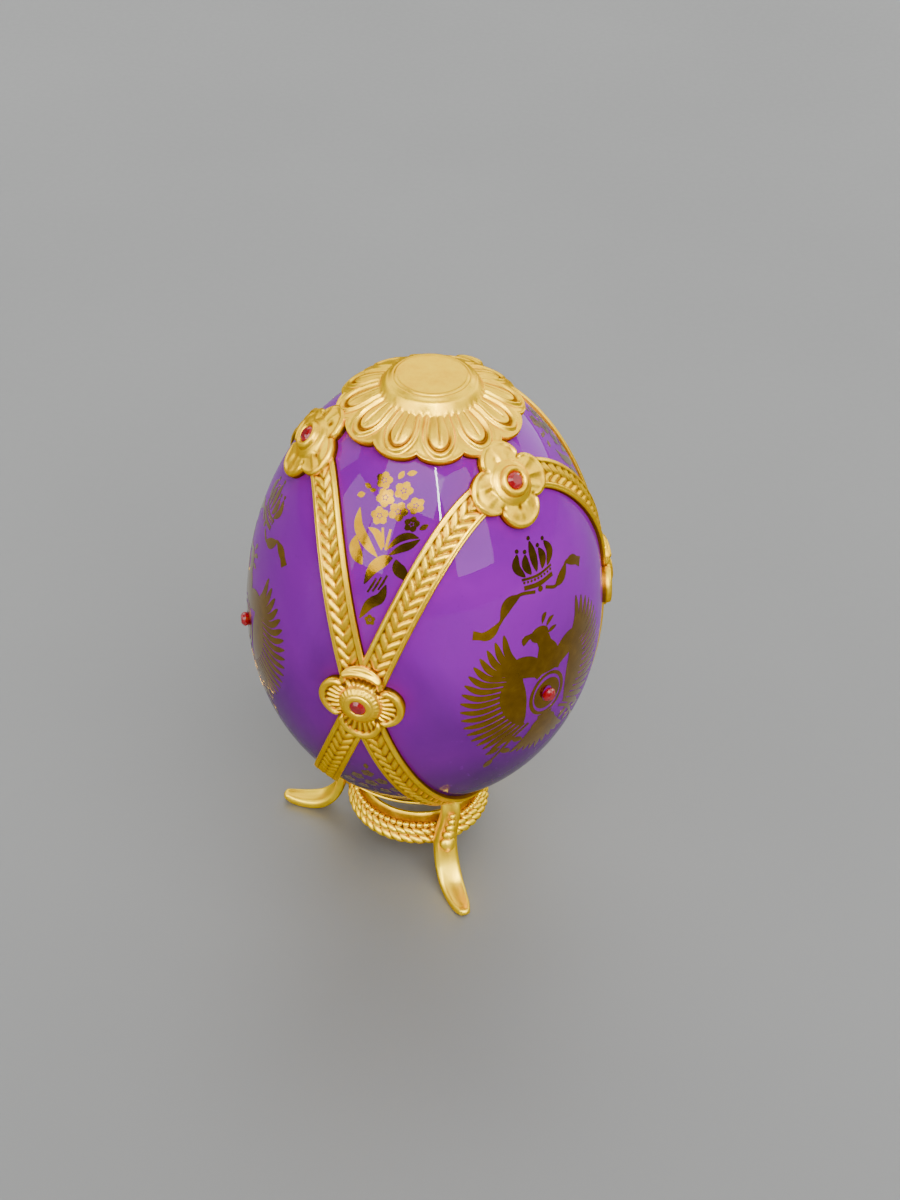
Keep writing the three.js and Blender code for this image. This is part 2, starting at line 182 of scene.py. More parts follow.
class Body:
    """Collects closed shells, with how deep in a recess each point lies or how much painted shade it takes,
    into one mesh.
    """

    def __init__(self):
        self.points, self.faces, self.recess, self.count = [], [], [], 0

    def loft(self, loops, recess=0.0, hubs=(None, None), closed_ends=True):
        """Shell through closed loops with equal point counts, closed at both ends by fans."""
        loops = np.asarray(loops, float)
        rows, columns = loops.shape[:2]
        points = loops.reshape(-1, 3)
        depth = np.broadcast_to(np.asarray(recess, float), (rows, columns)).reshape(-1)
        index = np.arange(rows * columns).reshape(rows, columns)
        after = np.roll(index, -1, axis=1)
        quads = np.stack([index[:-1], after[:-1], after[1:], index[1:]], -1).reshape(-1, 4)
        faces = quads.tolist()
        if closed_ends:
            ends = []
            for row, hub in zip((0, rows - 1), hubs):
                hub_index = rows * columns + len(ends)
                ends.append(loops[row].mean(axis=0) if hub is None else np.asarray(hub, float))
                a, b = (index[row], after[row]) if row else (after[row], index[row])
                faces += np.stack([a, b, np.full(columns, hub_index)], -1).tolist()
            depth = np.concatenate([depth, [depth[0], depth[-1]]])
            points = np.vstack([points, ends])
        else:
            faces += np.stack([index[-1], after[-1], after[0], index[0]], -1).reshape(-1, 4).tolist()
        if self.volume(points, faces) < 0:
            faces = [face[::-1] for face in faces]
        self.points.append(points)
        self.recess.append(depth)
        self.faces += [[i + self.count for i in face] for face in faces]
        self.count += len(points)

    @staticmethod
    def volume(points, faces):
        fans = [(f[0], f[i], f[i + 1]) for f in faces for i in range(1, len(f) - 1)]
        a, b, c = (points[[fan[k] for fan in fans]] - points.mean(axis=0) for k in range(3))
        return np.einsum("ij,ij->i", a, np.cross(b, c)).sum()

    def make(self, name, finish, replaces=(), sharp=50):
        """The piece in its finish (body, slot, material), though the slot is not used; edges over sharp
        degrees stay hard.
        """
        body, slot, material = finish
        mesh = bpy.data.meshes.new(name)
        mesh.from_pydata((np.vstack(self.points) * MM).tolist(), [], self.faces)
        depth = mesh.attributes.new("recess", "FLOAT", "POINT")
        depth.data.foreach_set("value", np.concatenate(self.recess).astype(np.float32))
        mesh.polygons.foreach_set("use_smooth", [True] * len(mesh.polygons))
        mesh.set_sharp_from_angle(angle=radians(sharp))
        mesh.materials.append(material)
        mesh.update()
        piece = bpy.data.objects.new(name, mesh)
        bpy.context.scene.collection.objects.link(piece)
        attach(piece, body)
        if replaces:
            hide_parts(*replaces)


def revolve(profile, segments):
    """Loops of a turned shape from its profile of (radius, height) pairs."""
    profile = np.asarray(profile, float)
    return round_axis(profile[:, :1], around(segments), profile[:, 1:])


def shell_piece(name, finish, node, loops, recess=0.0, hubs=(None, None), ends=True, sharp=50):
    """A piece of one closed shell, which takes the place of one node."""
    body = Body()
    body.loft(loops, recess, hubs, ends)
    body.make(name, finish, (node,), sharp)


# ---- materials

def linear(code):
    """Linear colour of a #rrggbb code."""
    parts = [int(code[i:i + 2], 16) / 255 for i in (1, 3, 5)]
    return tuple(c / 12.92 if c <= 0.04045 else ((c + 0.055) / 1.055) ** 2.4 for c in parts) + (1.0,)


class Nodes:
    """Node tree of one material, with short calls for the nodes used here."""

    def __init__(self, name):
        self.material = bpy.data.materials.new(name)
        self.material.use_nodes = True
        self.tree = self.material.node_tree
        self.shader = self.tree.nodes["Principled BSDF"]
        self.place = self.tree.nodes.new("ShaderNodeTexCoord").outputs["Object"]

    def put(self, socket, value):
        """Sets a socket to a value, or links it to a node's output."""
        if hasattr(value, "is_linked"):
            self.tree.links.new(value, socket)
        else:
            socket.default_value = value

    def node(self, kind, **inputs):
        node = self.tree.nodes.new("ShaderNode" + kind)
        for key, value in inputs.items():
            self.put(node.inputs[key.replace("_", " ")], value)
        return node

    def set(self, **inputs):
        """Sets or links inputs of the material's shader."""
        for key, value in inputs.items():
            self.put(self.shader.inputs[key.replace("_", " ")], value)

    def noise(self, scale, detail=4.0, roughness=0.5, distortion=0.0):
        node = self.node("TexNoise", Vector=self.place, Scale=scale, Detail=detail,
                         Roughness=roughness, Distortion=distortion)
        return node.outputs["Fac"]

    def ramp(self, source, *stops):
        """Colour that runs through stops of (position, #rrggbb) as the source rises."""
        node = self.node("ValToRGB", Fac=source)
        elements = node.color_ramp.elements
        while len(elements) < len(stops):
            elements.new(0.5)
        for element, (position, code) in zip(elements, stops):
            element.position, element.color = position, linear(code)
        return node.outputs["Color"]

    def mix(self, factor, first, second):
        """Blend of two colours; each of the three is an output or a value."""
        node = self.node("Mix")
        node.data_type = "RGBA"
        for number, value in ((0, factor), (6, first), (7, second)):
            self.put(node.inputs[number], value)
        return node.outputs[2]

    def spread(self, source, low, high, at=(0.3, 0.7)):
        """A value that runs from low to high as the source goes over a range."""
        node = self.node("MapRange", Value=source, From_Min=at[0], From_Max=at[1], To_Min=low, To_Max=high)
        return node.outputs["Result"]

    def add(self, first, second):
        node = self.node("Math")
        self.put(node.inputs[0], first)
        self.put(node.inputs[1], second)
        return node.outputs[0]

    def height(self):
        return self.node("SeparateXYZ", Vector=self.place).outputs["Z"]

    def recess(self):
        node = self.node("Attribute")
        node.attribute_name = "recess"
        return node.outputs["Fac"]

    def relief(self, height, depth_mm, strength):
        bump_node = self.node("Bump", Height=height, Distance=depth_mm * MM, Strength=strength)
        self.set(Normal=bump_node.outputs["Normal"])


def glaze_material():
    """Clouded violet glaze, with painted shade that darkens it toward the foot."""
    nodes = Nodes("violet_glaze")
    nodes.set(Specular_IOR_Level=0.0, Coat_Weight=0.55, Coat_Roughness=0.02, Coat_IOR=1.42)
    cloud = nodes.noise(55, detail=5, distortion=0.6)
    grain = nodes.noise(900, detail=3)
    body = nodes.ramp(cloud, (0.3, "#8a00b0"), (0.5, "#9c00c4"), (0.72, "#ae06d2"))
    shaded_violet = nodes.ramp(cloud, (0.3, "#360048"), (0.7, "#440058"))
    # painted shade: the violet is darkened toward the foot and fades to the glaze's own colour higher up
    shade_height = nodes.add(nodes.height(), nodes.spread(cloud, -0.002, 0.002))
    shade_fade = nodes.spread(shade_height, 0.0, 1.0, at=(PAINTED_SHADE_LOW * MM, PAINTED_SHADE_HIGH * MM))
    body = nodes.mix(shade_fade, shaded_violet, body)
    speck = nodes.ramp(grain, (0.66, "#000000"), (0.84, "#ffffff"))
    nodes.set(Base_Color=nodes.mix(speck, body, linear("#9010ba")), Roughness=nodes.spread(cloud, 0.22, 0.34))
    nodes.relief(nodes.noise(60, detail=2), 0.05, 0.35)
    return nodes.material


def gilt_material(name, bright, deep, rough):
    """Cast metal with a warm gold wash, browner and duller in its recesses from patina; the same dark tone is
    painted as shade where pieces meet the glaze and on the inner face of the upper legs.
    """
    wear = 0.15
    nodes = Nodes(name)
    nodes.set(Metallic=1.0, Specular_Tint=linear("#ffe48c"))
    cloud = nodes.noise(420, detail=5, roughness=0.6)
    fine = nodes.noise(2600, detail=4, roughness=0.65)
    tone = nodes.ramp(cloud, *zip((0.3, 0.5, 0.7), bright))
    patina_and_shade = nodes.ramp(fine, *zip((0.3, 0.7), deep))
    depth = nodes.add(nodes.recess(), nodes.spread(cloud, -wear, wear))
    mask = nodes.ramp(depth, (0.18, "#000000"), (0.85, "#ffffff"))
    burnish, dulling = nodes.spread(fine, rough - 0.06, rough + 0.08), nodes.spread(mask, 0, 0.12, (0, 1))
    nodes.set(Base_Color=nodes.mix(mask, tone, patina_and_shade), Roughness=nodes.add(burnish, dulling))
    nodes.relief(fine, 0.03, 0.45)
    return nodes.material


def print_material():
    """Thin burnished gold print under a hard transparent fire."""
    nodes = Nodes("printed_gold")
    nodes.set(Metallic=1.0)
    cloud = nodes.noise(700, detail=5, roughness=0.6)
    gold = nodes.ramp(cloud, (0.3, "#7e5a04"), (0.55, "#8c6606"), (0.75, "#9a740c"))
    nodes.set(Base_Color=gold, Roughness=nodes.spread(cloud, 0.08, 0.15))
    nodes.relief(nodes.noise(1800, detail=3), 0.02, 0.3)
    return nodes.material


def stone_material():
    nodes = Nodes("red_stone")
    nodes.set(IOR=1.6, Transmission_Weight=0.25, Specular_IOR_Level=0.3, Roughness=0.03,
              Coat_Weight=0.15, Coat_Roughness=0.01)
    nodes.set(Base_Color=nodes.ramp(nodes.noise(900, detail=2), (0.3, "#b40014"), (0.7, "#dc001e")))
    return nodes.material


def floor_material():
    nodes = Nodes("studio_floor")
    nodes.set(Base_Color=nodes.ramp(nodes.noise(9, detail=3), (0.3, "#909190"), (0.7, "#969796")),
              Roughness=nodes.spread(nodes.noise(700, detail=4), 0.42, 0.52))
    return nodes.material


GLAZE = ("egg", "glaze", glaze_material())
GILT = ("egg", "gilt",
        gilt_material("old_gilt", ("#eab40a", "#f4c410", "#fad01a"), ("#6e4406", "#966010"), 0.34))
STAND_GILT = ("stand", "stand_gilt",
              gilt_material("stand_gilding", ("#f4c80e", "#fad214", "#ffdc20"), ("#8a5a0a", "#b07c12"), 0.38))
PRINT = ("egg", "gilt", print_material())
STONE = ("egg", "red_glass", stone_material())


# ---- porcelain egg

def porcelain_egg():
    segments, rows = 224, 170
    foot_fillet = 0.35
    latitudes = np.linspace(math.pi / 2 - 0.004, BASE_LATITUDE, rows)
    height = np.where(latitudes > 0, EGG_TOP, EGG_BOTTOM)
    outer = np.stack([EGG_RADIUS * np.cos(latitudes), WAIST + height * np.sin(latitudes)], -1)[:-1]
    edge = [(BASE_RADIUS - foot_fillet * 0.1, BASE_HEIGHT + foot_fillet * 0.35),
            (BASE_RADIUS - foot_fillet * 0.5, BASE_HEIGHT + foot_fillet * 0.06)]
    flat = [(r, BASE_HEIGHT) for r in (BASE_RADIUS - foot_fillet, 8.0, 4.0, VENT_RADIUS + 0.15)]
    vent = [(VENT_RADIUS, BASE_HEIGHT + 0.15), (VENT_RADIUS, BASE_HEIGHT + WALL - 0.1)]
    inner_latitudes = np.linspace(BASE_LATITUDE, math.pi / 2 - 0.01, 50)
    inner_height = np.where(inner_latitudes > 0, EGG_TOP - WALL, EGG_BOTTOM - WALL)
    inner = np.stack([(EGG_RADIUS - WALL) * np.cos(inner_latitudes),
                      WAIST + inner_height * np.sin(inner_latitudes)], -1)
    inner = inner[inner[:, 1] > BASE_HEIGHT + WALL + 0.2]
    profile = np.vstack([outer, edge, flat, vent, [(5.0, BASE_HEIGHT + WALL)], inner])
    shell_piece("porcelain_egg", GLAZE, "egg_shell", revolve(profile, segments), sharp=40)


porcelain_egg()


# ---- cap

def scallop(azimuth):
    lobe = np.abs(np.cos(CAP_LOBES * (azimuth - CAP_LOBE_AZIMUTH) / 2))
    return CAP_NOTCH + (CAP_TIP - CAP_NOTCH) * np.sqrt(lobe)


def cap_piece():
    """Cast cap: flat disc in a double ring, hollow collar, twelve outlined petals, scalloped border."""
    segments = CAP_LOBES * 48
    collar, fade = 5.75, 6.55
    azimuth = around(segments)
    inner = np.concatenate([np.linspace(0.6, 4.2, 7), np.linspace(4.4, fade, 36)])
    fraction = np.linspace(0, 1, 62)[1:]
    edge = scallop(azimuth)
    radii = np.vstack([
        np.repeat(inner[:, None], segments, 1),
        fade + fraction[:, None] * (edge - fade)[None, :],
    ])
    a = np.broadcast_to(azimuth, radii.shape)
    off = (a - CAP_LOBE_AZIMUTH + TAU / CAP_LOBES / 2) % (TAU / CAP_LOBES) - TAU / CAP_LOBES / 2
    side = radii * off
    # Petal outline: straight sides that widen outward, closed by half an ellipse at the tip.
    bend, half, tip = 9.0, 1.72, 2.0
    straight = np.abs(side) - (1.22 + (half - 1.22) * smooth(6.1, bend, radii))
    round_end = (np.hypot(side / half, np.maximum(radii - bend, 0) / tip) - 1) * half
    outline = np.where(radii < bend, straight, round_end)
    start = smooth(6.2, 6.7, radii)
    lift = 1.0 + 0.05 * smooth(9, 10.8, radii)
    lift += 0.26 * bump(outline, 0.02, 0.19) * start
    within = smooth(-0.25, -0.5, outline) * start
    lift -= 0.2 * bump(outline, -0.42, 0.17) * start * (0.55 + 0.45 * smooth(8, 10.2, radii))
    lift += 0.2 * within * smooth(0, 1.2, -outline - 0.35) * (0.5 + 0.5 * np.cos(side * 1.6))
    tongue = bump(side, 0, 0.15) * smooth(10.3, 9.2, radii) * start
    lift -= 0.2 * tongue
    lift -= 0.1 * bump(outline, 0.42, 0.2) * start
    border = edge[None, :] - radii
    lift += 0.1 * bump(border, 0.22, 0.16) * start
    lift -= 0.32 * smooth(0.16, 0.0, border)
    groove = bump(outline, -0.42, 0.2)
    recess = np.clip(groove * smooth(8.0, 10.4, radii) * start + 0.35 * groove * start + 0.6 * tongue
                     + 0.18 * bump(outline, 0.45, 0.2) * start, 0, 1)
    crown = egg_point(a, np.arccos(np.minimum(radii / EGG_RADIUS, 1)), lift)
    top = (DISC_HEIGHT - 0.06 * smooth(0, 4.0, 4.2 - radii)
           + 0.1 * bump(radii, 4.62, 0.16) - 0.1 * bump(radii, 4.95, 0.12))
    top -= 0.45 * smooth(4.9, 5.85, radii)
    recess = np.maximum(recess, 0.45 * bump(radii, 4.96, 0.12) + 0.25 * bump(radii, 6.45, 0.2))
    disc = round_axis(radii, a, WAIST + top)
    fall = smooth(collar, fade, radii)
    surface = disc + (crown - disc) * fall[..., None]
    foot = [egg_point(azimuth, np.arccos(edge / EGG_RADIUS), lift_) for lift_ in (0.35, -0.1)]
    foot.append(egg_point(azimuth, np.full(segments, math.acos(6 / EGG_RADIUS)), -0.1))
    loops = np.vstack([surface, np.array(foot)])
    # the foot rows are painted dark as shade where the cap meets the glaze
    depth = np.vstack([recess, np.full((3, segments), EDGE_PAINTED_SHADE)])
    shell_piece("gilded_cap", GILT, "top_cap", loops, depth, ((0, 0, WAIST + DISC_HEIGHT - 0.06), None))


cap_piece()


# ---- rosettes and stones

def in_petal(angle):
    """Number of the petal that an angle lies in, and the angle from that petal's middle."""
    petal = np.round(angle / (TAU / 4))
    return petal, angle - petal * (TAU / 4)


def petal_reach(angle):
    off = in_petal(angle)[1]
    return PETAL_CENTRE * np.cos(off) + np.sqrt(PETAL_RADIUS ** 2 - (PETAL_CENTRE * np.sin(off)) ** 2)


def rosette_rings(reach):
    """Radii for each angle: fine over bezel and boss, then on out to the outline."""
    boss = np.concatenate([np.linspace(0.3, 0.6, 2), np.linspace(0.66, BOSS_RADIUS, 34)])
    fraction = np.concatenate([np.linspace(0, 0.7, 20)[1:], np.linspace(0.7, 1, 16)[1:]])
    petals = BOSS_RADIUS + fraction[:, None] * (reach - BOSS_RADIUS)[None, :]
    return np.vstack([np.repeat(boss[:, None], len(reach), 1), petals])


def bezel(r, top, rise_from, inner=1.0, outer=1.75, seat=1.2):
    """Turned collar that holds the stone, over a boss of the given height."""
    middle = (inner + outer) / 2
    half = (outer - inner) / 2
    crest = np.sqrt(np.clip(1 - ((r - middle) / (half * 1.15)) ** 2, 0, 1))
    collar = rise_from + (top - rise_from) * crest
    return np.where(r < middle, seat + (collar - seat) * smooth(inner - 0.22, inner + 0.05, r), collar)


def shell_petals(r, angle, reach):
    """Ribbed, cupped petals in thick rolled rims; the upward one is folded over the band joint."""
    off = in_petal(angle)[1]
    border = reach - r
    diagonal = r * np.abs(np.sin(np.abs(off) - TAU / 8))
    ribs = 0.5 + 0.5 * np.cos(angle * 32)
    field = 0.92 + 0.24 * ribs * smooth(2.6, 3.2, r) * smooth(0.9, 1.3, border)
    roll = np.sqrt(np.clip(1 - ((border - 0.56) / 0.62) ** 2, 0, 1))
    lift = field + (1.42 - field) * roll * smooth(0, 0.15, border + 0.05)
    lift = np.where(border < 0.1, np.minimum(lift, 0.75 + border * 4), lift)
    notch = bump(diagonal, 0, 0.24) * smooth(2.5, 3.0, r)
    lift -= 0.42 * notch
    recess = np.clip(0.75 * (1 - ribs) * smooth(2.8, 3.3, r) * smooth(0.85, 1.25, border)
                     + 0.55 * bump(border, 1.15, 0.2) + 0.8 * notch, 0, 1)
    north = np.abs((angle - TAU / 4 + math.pi) % TAU - math.pi)
    fold = smooth(0.72, 0.5, north) * bump(r - 4.75 + 0.12 * np.sin(angle * 3), 0, 0.62)
    lift = np.maximum(lift, 0.9 + 0.85 * fold)
    shade = smooth(0.66, 0.45, north) * bump(r, 3.55, 0.5)
    return lift - 0.22 * shade, np.clip(np.maximum(recess * (1 - fold), 0.95 * shade), 0, 1)


def soft_petals(r, angle, reach, turn):
    """Burnished petals: shallow dished fields with soft folds inside low rolled rims."""
    petal, off = in_petal(angle)
    border = reach - r
    diagonal = r * np.abs(np.sin(np.abs(off) - TAU / 8))
    sway = 0.22 * np.sin(petal * 2.4 + turn)
    folds = bump(off - sway, 0.2, 0.13) + 0.8 * bump(off - sway, -0.24, 0.1)
    inward = smooth(2.4, 3.1, r) * smooth(0.15, 0.9, border)
    lumps = np.sin(angle * 5 + turn) * np.cos(r * 1.9 + turn) + 0.6 * np.sin(angle * 9 - 2 * turn + r)
    lift = 1.08 + (0.13 * folds + 0.05 * lumps) * inward
    lift += 0.2 * bump(border, 0.5, 0.3) * (0.8 + 0.2 * np.sin(angle * 6 + turn))
    lift = np.where(border < 0.2, np.minimum(lift, 0.7 + border * 2.6), lift)
    notch = bump(diagonal, 0, 0.2) * smooth(3.0, 3.7, r)
    lift -= 0.3 * notch
    hollow = bump(off + sway, 0.02, 0.12) * bump(r, 3.25, 0.5)
    lift -= 0.16 * hollow
    recess = np.clip(0.6 * notch + 0.9 * hollow * (0.5 + 0.5 * np.sin(petal * 1.9 + turn))
                     + 0.3 * smooth(0.2, 1.2, -lumps) * inward + 0.25 * bump(border, 0.95, 0.2), 0, 1)
    return lift, recess


def rosette_piece(kind, sector):
    azimuth = (LOWER_AZIMUTHS if kind == "lower" else UPPER_AZIMUTHS)[sector]
    latitude = LOWER_LATITUDE if kind == "lower" else UPPER_LATITUDE
    count = 224
    angle = around(count)
    reach = petal_reach(angle)
    r = rosette_rings(reach)
    a, reach_all = np.broadcast_to(angle, r.shape), np.broadcast_to(reach, r.shape)
    if kind == "lower":
        lift, recess = shell_petals(r, a, reach_all)
        flutes = 0.5 + 0.5 * np.cos(a * 26)
        dome = 1.5 + 0.42 * smooth(2.95, 1.9, r) - 0.07 * (1 - flutes) * bump(r, 2.45, 0.35)
        collar = bezel(r, 2.12, 1.92)
        recess_boss = 0.3 * (1 - flutes) * bump(r, 2.45, 0.35) + 0.45 * bump(r, 2.85, 0.2)
    else:
        lift, recess = soft_petals(r, a, reach_all, turn=1.7 + 2.1 * sector)
        dome = 1.25 + 0.3 * smooth(2.9, 2.0, r)
        collar = bezel(r, 2.25, 1.5, inner=1.02, outer=1.9)
        recess_boss = 0.4 * bump(r, 1.95, 0.2)
    boss = np.where(r < 2.0, np.maximum(collar, np.where(r > 1.4, dome, 0)), dome)
    blend = smooth(2.95, 2.6, r)
    lift = lift * (1 - blend) + boss * blend
    recess = recess * (1 - blend) + recess_boss * blend
    recess = np.maximum(recess, 0.9 * smooth(1.06, 0.92, r))
    centre, east, north = tangent_frame(azimuth, latitude)

    def over(radius, angles, height):
        east_mm, north_mm = (radius * np.cos(angles))[..., None], (radius * np.sin(angles))[..., None]
        return egg_point(*place_under(centre + east_mm * east + north_mm * north), height)

    surface = over(r, a, lift)
    foot = np.array([over(reach, angle, np.full(count, low)) for low in (0.4, -0.1)]
                    + [over(np.full(count, 2.0), angle, np.full(count, -0.1))])
    name = f"{kind}_rosette_{sector + 1}"
    # the foot rows are painted dark as shade where the rosette meets the glaze
    depth = np.vstack([recess, np.full((3, count), EDGE_PAINTED_SHADE)])
    shell_piece(f"{name}_cast", GILT, name, np.vstack([surface, foot]), depth)


def stone_piece(name, azimuth, latitude, radius, table, girdle, foot):
    """Faceted glass stone: table, kite facets, girdle and a pavilion that tapers to its seat."""
    facets = 8
    centre, east, north = tangent_frame(azimuth, latitude)
    up = egg_normal(np.float64(azimuth), np.float64(latitude))
    turn = np.arange(2 * facets) * TAU / (2 * facets) + 0.2

    def ring(size, height, wave=0.0):
        swell = 1 + wave * np.where(np.arange(2 * facets) % 2, 1, -1)
        return (centre + up * height + (size * swell * np.cos(turn))[:, None] * east
                + (size * swell * np.sin(turn))[:, None] * north)

    span = table - girdle
    loops = [ring(radius * 0.56, table, -0.04), ring(radius * 0.8, girdle + span * 0.62, 0.05),
             ring(radius, girdle + 0.06), ring(radius, girdle - 0.06), ring(radius * 0.8, foot)]
    shell_piece(f"{name}_cut", STONE, name, loops, hubs=(centre + up * table, centre + up * foot), sharp=4)


for sector, (lower, upper) in enumerate(zip(LOWER_AZIMUTHS, UPPER_AZIMUTHS)):
    number = sector + 1
    rosette_piece("lower", sector)
    rosette_piece("upper", sector)
    # Radius, then the heights of table, girdle and foot over the glaze.
    stone_piece(f"lower_stone_{number}", lower, LOWER_LATITUDE, 1.15, 2.3, 1.88, 1.2)
    stone_piece(f"upper_stone_{number}", upper, UPPER_LATITUDE, 1.15, 2.36, 1.92, 1.2)
    stone_piece(f"medallion_stone_{number}", upper, MEDALLION_LATITUDE, 1.0, 1.0, 0.45, -0.1)


# ---- bands

def band_place(azimuth, side, upper, turn):
    reach = UPPER_LATITUDE - LOWER_LATITUDE if upper else LOWER_LATITUDE - BASE_LATITUDE
    first = UPPER_STEEPNESS if upper else LOWER_STEEPNESS
    last = math.tan(reach) / sin(SECTOR / 2)
    angle = turn * SECTOR / 2
    rise = np.arctan((first + (last - first) * turn) * np.sin(angle))
    return azimuth + side * angle, LOWER_LATITUDE + (rise if upper else -rise)


def inside_rosette(points, azimuth, latitude):
    """Distance in mm that points lie inside a rosette's outline, negative outside it."""
    centre, east, north = tangent_frame(azimuth, latitude)
    away = points - centre
    u, v = away @ east, away @ north
    distance = petal_reach(np.arctan2(v, u)) - np.hypot(u, v)
    near = np.linalg.norm(away, axis=-1) < 9
    return np.where(near, distance, -9.0)


def band_relief(along, across):
    """Height and depth of recess over a band: two plain borders and a braid of V-shaped leaves."""
    pitch, slope = 1.65, 1.15
    w = np.abs(across)
    phase = (along / pitch + slope * w / pitch) % 1.0
    leaf = np.sin(np.pi * phase ** 0.8) ** 0.75
    channel = smooth(1.34, 1.12, w)
    braid = 0.52 + 0.52 * leaf * (0.65 + 0.35 * smooth(0, 0.35, w)) + 0.06 * smooth(1.1, 0.2, w)
    border = 1.02 + 0.1 * bump(w, 1.52, 0.2) - 0.06 * bump(w, 1.74, 0.06)
    lift = braid * channel + border * (1 - channel)
    lift = BAND_RELIEF * (lift - 0.22 * smooth(1.86, 2.0, w))
    recess = channel * (0.95 * (1 - leaf) ** 1.4 + 0.35 * bump(w, 0, 0.16)) + 0.75 * bump(w, 1.26, 0.1)
    return lift, np.clip(recess, 0, 1)


def band_piece(sector, side, upper):
    azimuth = LOWER_AZIMUTHS[sector]
    fine = np.linspace(0.002, 1.0, 1200)
    az, lat = band_place(azimuth, side, upper, fine)
    length = running_length(egg_point(az, lat))
    step = 0.13
    rows = int(length[-1] / step)
    along = np.linspace(0.0, length[-1], rows)
    az, lat = band_place(azimuth, side, upper, np.interp(along, length, fine))
    line = egg_point(az, lat)
    across = np.cross(egg_normal(az, lat), unit_rows(np.gradient(line, axis=0))) * side
    # Columns lie closer together towards the rolled edges.
    columns, spacing = 35, radians(72)
    w = np.sin(np.linspace(-1, 1, columns) * spacing) / sin(spacing) * BAND_HALF
    flat = line[:, None, :] + across[:, None, :] * w[None, :, None]
    place_az, place_lat = place_under(flat)
    offset = ((place_az - azimuth) * side + math.pi) % TAU - math.pi
    # The two bands of a joint stop at the meridian between them, as mitred strips do.
    offset = np.clip(offset, 0.0002, SECTOR / 2 - 0.0002)
    place_az = azimuth + side * offset
    lift, recess = band_relief(-along[:, None] if upper else along[:, None], w[None, :])
    hidden = inside_rosette(flat, azimuth, LOWER_LATITUDE)
    if upper:
        hidden = np.maximum(hidden, inside_rosette(flat, azimuth + side * SECTOR / 2, UPPER_LATITUDE))
    else:
        place_lat = np.maximum(place_lat, latitude_of_height(LIP_TOP - WAIST - 0.1))
    under = smooth(0.15, 0.6, hidden)
    lift = lift * (1 - under) + 0.3 * under
    recess = np.clip(recess + 0.5 * bump(hidden, 0.0, 0.35), 0, 1)
    surface = egg_point(place_az, place_lat, lift)
    edges = [(-1, 0.4), (-1, -0.1), (0, -0.1), (0, 0.4)]
    skirt = [egg_point(place_az[:, i], place_lat[:, i], np.full(rows, low)) for i, low in edges]
    loops = np.concatenate([surface, np.stack(skirt, 1)], axis=1)
    # the skirt is painted dark as shade where the band meets the glaze
    depth = np.concatenate([recess, np.full((rows, 4), EDGE_PAINTED_SHADE)], axis=1)
    name = f"{'upper' if upper else 'lower'}_band_{sector + 1}_{'right' if side > 0 else 'left'}"
    shell_piece(f"{name}_cast", GILT, name, loops, depth)


for sector in range(SECTORS):
    for side in (-1, 1):
        band_piece(sector, side, upper=True)
        band_piece(sector, side, upper=False)


# ---- rim round the egg's foot

def rim_piece():
    inside = EGG_RADIUS * cos(float(latitude_of_height(LIP_TOP - WAIST)))
    foot = BASE_HEIGHT - RIM_THICKNESS - 0.1
    profile = [
        (RIM_INNER, BASE_HEIGHT - 0.05), (RIM_INNER - 0.02, foot + 0.15), (RIM_INNER + 0.15, foot),
        (BASE_RADIUS, foot), (BASE_RADIUS + 0.35, foot + 0.12), (BASE_RADIUS + 0.62, foot + 0.45),
        (BASE_RADIUS + 0.95, BASE_HEIGHT + 0.02), (inside + 0.88, LIP_TOP - 0.22),
        (inside + 0.84, LIP_TOP - 0.04), (inside + 0.62, LIP_TOP + 0.06), (inside + 0.3, LIP_TOP + 0.02),
        (inside - 0.1, LIP_TOP - 0.08), (BASE_RADIUS - 0.1, BASE_HEIGHT - 0.05),
    ]
    shell_piece("foot_rim", GILT, "base_rim", revolve(profile, 200), ends=False, sharp=60)


rim_piece()


# ---- stand

def ring_piece():
    profile = [
        (8.2, 5.75), (8.35, 5.6), (8.8, 5.6), (9.1, 5.9), (9.15, 8.1), (9.3, 8.6), (9.32, 9.0), (9.22, 9.3),
        (9.16, 9.7), (9.08, 10.05), (8.96, 10.28), (8.84, 10.36), (8.82, 10.42), (8.7, 10.46), (8.5, 10.44),
        (8.34, 10.34), (8.24, 10.15), (8.2, 9.9),
    ]
    depth = [0.5] * 4 + [1.0, 0.95, 0.9, 0.85, 0.8, 0.75, 0.6, 0.4, 0.05] + [0.0] * 5
    shell_piece("stand_ring_cast", STAND_GILT, "stand_ring", revolve(profile, 240),
                np.array(depth)[:, None], ends=False, sharp=60)


def hoop(name, radius, height, wire, shape, segments, sides, node):
    """A wire hoop whose radius changes round and along it; shape(turn, angle) gives size and recess."""
    turn, angle = around(segments)[:, None], around(sides)[None, :]
    size, recess = shape(turn, angle)
    size = wire * size
    loops = round_axis(radius + size * np.cos(angle), turn, height + size * np.sin(angle))
    shell_piece(name, STAND_GILT, node, loops, recess, ends=False, sharp=80)


def beads(count):
    def shape(turn, angle):
        t = (turn * count / TAU) % 1 * 2 - 1
        round_ = np.sqrt(np.clip(1 - t * t * 0.92, 0, 1))
        return round_, 0.9 * smooth(0.75, 1.0, np.abs(t))
    return shape


def twist(count, phase=0.0):
    """Two strands laid round each other."""
    def shape(turn, angle):
        lay = np.abs(np.cos(angle + turn * count / 2 + phase))
        size = 0.70 + 0.36 * lay ** 0.7
        return size, 0.95 * smooth(0.45, 0.05, lay)
    return shape


ring_piece()
hoop("bead_row", 9.66, 8.72, 0.46, beads(60), 60 * 12, 14, "bead_wire")
hoop("rope_upper", 9.9, 7.6, 0.64, twist(46), 46 * 16, 22, "upper_rope")
hoop("rope_lower", 10.12, 6.28, 0.72, twist(42, 0.8), 42 * 16, 22, "lower_rope")


